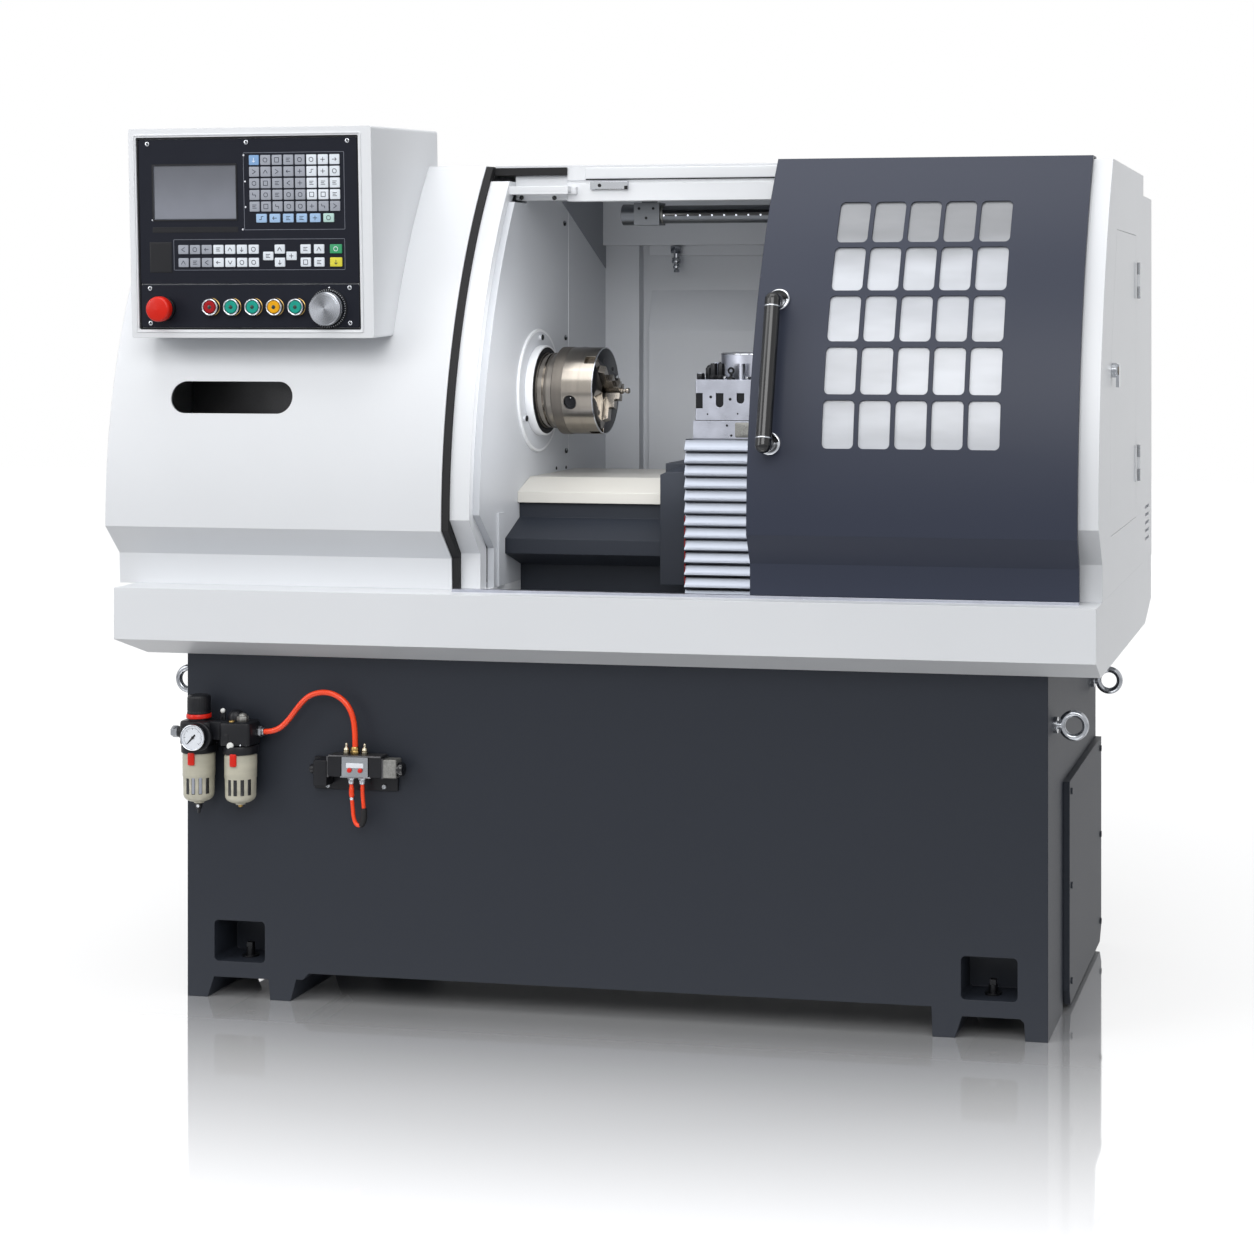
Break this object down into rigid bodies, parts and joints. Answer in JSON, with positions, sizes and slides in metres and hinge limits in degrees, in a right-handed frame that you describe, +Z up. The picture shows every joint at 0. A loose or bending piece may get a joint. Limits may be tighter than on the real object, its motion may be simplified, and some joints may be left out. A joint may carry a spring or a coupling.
{
  "type": "cnc turning lathe",
  "caption": "Enclosed turning lathe with a curved sliding door, chuck, tool turret, tilted control box, chip tray and cast base.",
  "frame": {"origin": "middle of the machine's outline on the floor", "axes": "+X to the right of the operator, +Y to the back, +Z up"},
  "size_m": [1.841, 1.0112, 1.5996],
  "materials": {
    "pale grey paint": "semi-gloss powder coat",
    "charcoal paint": "fine textured paint",
    "slate paint": "satin powder coat",
    "cream paint": "satin enamel",
    "bright aluminium": "drawn",
    "ground steel": "turned and ground",
    "zinc plate": "zinc plated",
    "bright chrome": "polished",
    "cast iron": "machined casting",
    "black plastic": "satin",
    "black rubber": "matt",
    "display glass": "clear over grey",
    "clear acrylic": "clear",
    "bowl polycarbonate": "smoked",
    "red plastic": "satin",
    "green plastic": "satin",
    "yellow plastic": "satin",
    "orange hose": "smooth",
    "lamp tube": "anodised"
  },
  "bodies": {
    "machine": {"base_frame": "charcoal paint", "levelling_screws": "cast iron", "base_side_cover": "charcoal paint", "eyebolts": "zinc plate", "chip_tray": "pale grey paint", "headstock_cover": "pale grey paint", "cover_seal": "black rubber", "left_jamb": "pale grey paint", "spindle_wall": "pale grey paint", "spindle_flange": "pale grey paint", "rear_wall": "pale grey paint", "roof": "pale grey paint", "header_rail": "pale grey paint", "work_light": "lamp tube", "coolant_tap": "bright chrome", "right_cover": "pale grey paint", "side_door_hinges": "zinc plate", "rear_cabinet": "pale grey paint", "headstock": "cast iron", "bed": "charcoal paint", "bed_way_cover": "cream paint", "wall_strip": "pale grey paint", "door_track": "ground steel", "control_box": "pale grey paint", "cnc_keyboard": "black plastic", "display_glass": "display glass", "button_panel": "black plastic", "button_rings": "bright chrome", "air_bowls": "bowl polycarbonate", "air_unit": "black plastic", "pressure_gauge": "black plastic", "solenoid_valve": "black plastic", "air_hose": "orange hose", "valve_hose": "orange hose"},
    "sliding door": {"door_panel": "slate paint", "door_window": "clear acrylic", "door_handle": "black plastic"},
    "spindle": {"spindle_shaft": "ground steel", "chuck_body": "ground steel", "turned_pin": "ground steel"},
    "jaw one": {"jaw_1": "ground steel"},
    "jaw two": {"jaw_2": "ground steel"},
    "jaw three": {"jaw_3": "ground steel"},
    "carriage": {"carriage": "charcoal paint", "slat_apron": "bright aluminium"},
    "cross slide": {"cross_slide": "ground steel"},
    "turret": {"turret_head": "ground steel"},
    "tailstock": {"tailstock_body": "charcoal paint"},
    "quill": {"tailstock_quill": "ground steel"},
    "quill wheel": {"tailstock_wheel": "bright chrome"},
    "service door": {"side_door": "pale grey paint"},
    "service door latch": {"side_door_latch": "bright chrome"},
    "button one": {"push_button_1": "red plastic"},
    "button two": {"push_button_2": "green plastic"},
    "button three": {"push_button_3": "green plastic"},
    "button four": {"push_button_4": "yellow plastic"},
    "button five": {"push_button_5": "green plastic"},
    "stop button": {"stop_button": "red plastic"},
    "hand dial": {"handwheel_dial": "bright aluminium"},
    "regulator knob": {"regulator_knob": "black plastic"}
  },
  "joints": [
    {"name": "door_slide", "type": "slide", "parent": "machine", "child": "sliding door", "axis": [-1, 0, 0], "range_m": [0, 0.548]},
    {"name": "spindle_spin", "type": "hinge", "parent": "machine", "child": "spindle", "pos_m": [-0.1125, -0.1144, 1.107], "axis": [1, 0, 0], "continuous": true},
    {"name": "jaw_one_grip", "type": "slide", "parent": "spindle", "child": "jaw one", "axis": [0, -0.6947, 0.7193], "range_m": [0, 0.006]},
    {"name": "jaw_two_grip", "type": "slide", "parent": "spindle", "child": "jaw two", "axis": [0, 0.9703, 0.2419], "range_m": [0, 0.006]},
    {"name": "jaw_three_grip", "type": "slide", "parent": "spindle", "child": "jaw three", "axis": [0, -0.2756, -0.9613], "range_m": [0, 0.006]},
    {"name": "carriage_slide", "type": "slide", "parent": "machine", "child": "carriage", "axis": [1, 0, 0], "range_m": [-0.15, 0.1]},
    {"name": "cross_slide_travel", "type": "slide", "parent": "carriage", "child": "cross slide", "axis": [0, 1, 0], "range_m": [0, 0.12]},
    {"name": "turret_index", "type": "hinge", "parent": "cross slide", "child": "turret", "pos_m": [0.2575, -0.2224, 1.097], "axis": [0, 0, 1], "continuous": true},
    {"name": "tailstock_slide", "type": "slide", "parent": "machine", "child": "tailstock", "axis": [1, 0, 0], "range_m": [-0.06, 0.06]},
    {"name": "quill_wheel_turn", "type": "hinge", "parent": "tailstock", "child": "quill wheel", "pos_m": [0.7705, -0.1144, 1.107], "axis": [1, 0, 0], "range_deg": [0, 4320]},
    {"name": "quill_travel", "type": "slide", "parent": "tailstock", "child": "quill", "axis": [-1, 0, 0], "range_m": [0, 0.06]},
    {"name": "service_door_swing", "type": "hinge", "parent": "machine", "child": "service door", "pos_m": [0.9105, 0.1894, 1.14], "axis": [0, 0, 1], "range_deg": [0, 95]},
    {"name": "service_latch_turn", "type": "hinge", "parent": "service door", "child": "service door latch", "pos_m": [0.9135, -0.2344, 1.152], "axis": [1, 0, 0], "range_deg": [-90, 0]},
    {"name": "hand_dial_turn", "type": "hinge", "parent": "machine", "child": "hand dial", "pos_m": [-0.472, -0.47462, 1.26195], "axis": [0, 0.9991, 0.0419], "continuous": true},
    {"name": "regulator_knob_turn", "type": "hinge", "parent": "machine", "child": "regulator knob", "pos_m": [-0.7435, -0.4404, 0.54], "axis": [0, 0, 1], "range_deg": [-360, 360]},
    {"name": "stop_button_push", "type": "slide", "parent": "machine", "child": "stop button", "axis": [0, 0.9991, 0.0419], "range_m": [0, 0.006], "stiffness_N_per_m": 800},
    {"name": "button_one_push", "type": "slide", "parent": "machine", "child": "button one", "axis": [0, 0.9991, 0.0419], "range_m": [0, 0.004], "stiffness_N_per_m": 400},
    {"name": "button_two_push", "type": "slide", "parent": "machine", "child": "button two", "axis": [0, 0.9991, 0.0419], "range_m": [0, 0.004], "stiffness_N_per_m": 400},
    {"name": "button_three_push", "type": "slide", "parent": "machine", "child": "button three", "axis": [0, 0.9991, 0.0419], "range_m": [0, 0.004], "stiffness_N_per_m": 400},
    {"name": "button_four_push", "type": "slide", "parent": "machine", "child": "button four", "axis": [0, 0.9991, 0.0419], "range_m": [0, 0.004], "stiffness_N_per_m": 400},
    {"name": "button_five_push", "type": "slide", "parent": "machine", "child": "button five", "axis": [0, 0.9991, 0.0419], "range_m": [0, 0.004], "stiffness_N_per_m": 400}
  ],
  "couplings": [
    {"joint": "jaw_two_grip", "follows": "jaw_one_grip", "ratio": 1},
    {"joint": "jaw_three_grip", "follows": "jaw_one_grip", "ratio": 1},
    {"joint": "quill_wheel_turn", "follows": "quill_travel", "rad_per_m": 1256.6}
  ]
}
